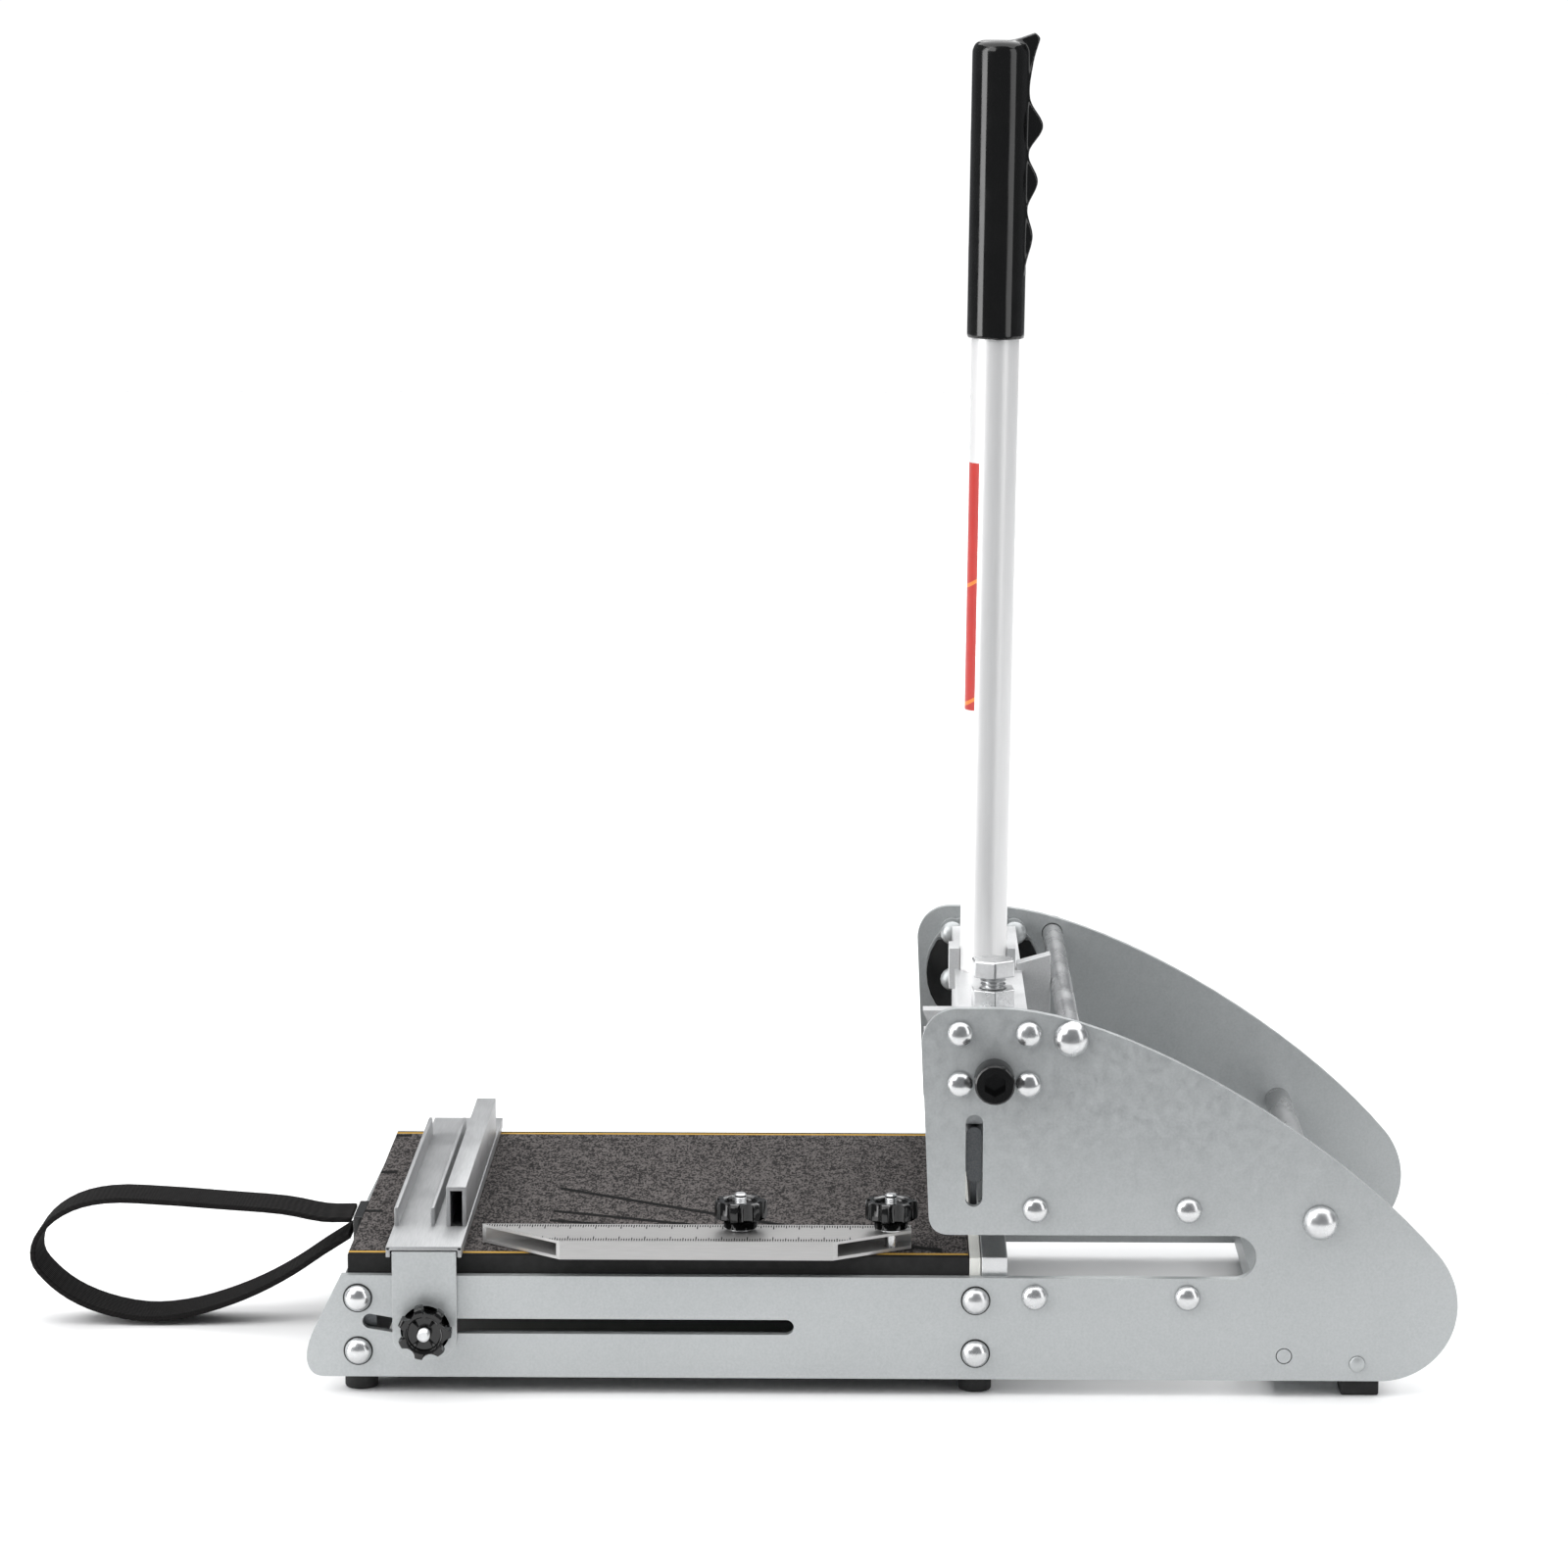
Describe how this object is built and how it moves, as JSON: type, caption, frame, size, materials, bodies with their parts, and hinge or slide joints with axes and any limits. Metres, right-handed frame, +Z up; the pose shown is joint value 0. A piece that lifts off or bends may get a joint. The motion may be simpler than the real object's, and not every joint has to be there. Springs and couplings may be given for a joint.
{
  "type": "tile cutter",
  "caption": "Bench lever guillotine for floor tile: grey side plates, speckled board, sliding fence, angle gauge, upright lever with a black grip, carrying strap",
  "frame": {"origin": "on the floor, under the middle of the whole object's bounding box", "axes": "+X from the infeed end with the strap to the rear, +Y from the near side plate to the far one, +Z up"},
  "size_m": [0.574, 0.254, 0.5265],
  "materials": {
    "plate_grey": "satin silver-grey sheet steel",
    "bright_steel": "polished bright plating",
    "alloy": "bright satin aluminium",
    "black_plastic": "glossy black",
    "black_steel": "black oxide",
    "dark_steel": "dark oiled steel",
    "foot_rubber": "matt black rubber",
    "board": "speckled grey-brown laminated board",
    "nylon": "pale nylon",
    "webbing": "black ribbed webbing"
  },
  "bodies": {
    "frame": {"side_plate_near": "plate_grey", "side_plate_far": "plate_grey", "jaw_bar_front": "plate_grey", "jaw_bar_rear": "plate_grey", "throat_strip_near": "plate_grey", "throat_strip_far": "plate_grey", "bearing_flange_near": "plate_grey", "bearing_flange_far": "plate_grey", "bearing_bush_near": "black_plastic", "bearing_bush_far": "black_plastic", "corner_bolt_front_upper": "bright_steel", "corner_bolt_front_lower": "bright_steel", "corner_bolt_mid_upper": "bright_steel", "corner_bolt_mid_lower": "bright_steel", "tie_rod_top": "bright_steel", "tie_rod_rear": "bright_steel", "cross_bar_front": "dark_steel", "cross_bar_mid": "dark_steel", "cross_bar_rear": "plate_grey", "board": "board", "anvil_strip": "nylon", "anvil_bar": "plate_grey", "gauge_pivot_bolt": "bright_steel", "return_spring_near": "bright_steel", "return_spring_far": "bright_steel", "foot_front_near": "foot_rubber", "foot_front_far": "foot_rubber", "foot_mid_near": "foot_rubber", "foot_mid_far": "foot_rubber", "foot_rear_near": "foot_rubber", "foot_rear_far": "foot_rubber", "strap": "webbing", "strap_anchor": "black_steel"},
    "handle": {"handle_hub": "alloy", "handle_tube": "alloy", "handle_grip": "black_plastic", "pivot_shaft": "dark_steel", "shaft_screw_near": "black_steel", "shaft_screw_far": "black_steel", "set_screw_near": "bright_steel", "set_screw_far": "bright_steel", "lock_nut_near": "bright_steel", "lock_nut_far": "bright_steel"},
    "blade": {"blade": "dark_steel", "blade_carrier": "plate_grey", "guide_key_near": "dark_steel", "guide_key_far": "dark_steel"},
    "fence": {"fence": "alloy", "fence_bracket_near": "plate_grey", "fence_bracket_far": "plate_grey", "fence_stud_near": "bright_steel", "fence_stud_far": "bright_steel"},
    "fence_knob_near": {"fence_knob_near": "black_plastic"},
    "fence_knob_far": {"fence_knob_far": "black_plastic"},
    "gauge": {"angle_gauge": "alloy", "gauge_clamp_bolt": "bright_steel"},
    "gauge_pivot_knob": {"gauge_pivot_knob": "black_plastic"},
    "gauge_clamp_knob": {"gauge_clamp_knob": "black_plastic"}
  },
  "joints": [
    {"name": "handle_swing", "type": "hinge", "parent": "frame", "child": "handle", "pos_m": [0.10596, 0, 0.1275], "axis": [0, -1, 0], "range_deg": [0, 73]},
    {"name": "blade_slide", "type": "slide", "parent": "frame", "child": "blade", "axis": [0, 0, -1], "range_m": [0, 0.0097], "deforming": ["return_spring_near", "return_spring_far"]},
    {"name": "fence_slide", "type": "slide", "parent": "frame", "child": "fence", "axis": [1, 0, 0], "range_m": [-0.008, 0.004]},
    {"name": "fence_knob_near_turn", "type": "hinge", "parent": "fence", "child": "fence_knob_near", "pos_m": [-0.11514, -0.1188, 0.0278], "axis": [0, -1, 0], "continuous": true},
    {"name": "fence_knob_far_turn", "type": "hinge", "parent": "fence", "child": "fence_knob_far", "pos_m": [-0.11514, 0.1188, 0.0278], "axis": [0, 1, 0], "continuous": true},
    {"name": "gauge_swing", "type": "hinge", "parent": "frame", "child": "gauge", "pos_m": [0.06626, -0.0953, 0.059], "axis": [0, 0, -1], "range_deg": [0, 45]},
    {"name": "gauge_pivot_knob_turn", "type": "hinge", "parent": "frame", "child": "gauge_pivot_knob", "pos_m": [0.06626, -0.0953, 0.07], "axis": [0, 0, 1], "continuous": true},
    {"name": "gauge_clamp_knob_turn", "type": "hinge", "parent": "gauge", "child": "gauge_clamp_knob", "pos_m": [0.00726, -0.0953, 0.07], "axis": [0, 0, 1], "continuous": true}
  ],
  "couplings": [
    {"joint": "blade_slide", "follows": "handle_swing", "m_per_rad": 0.0076}
  ]
}
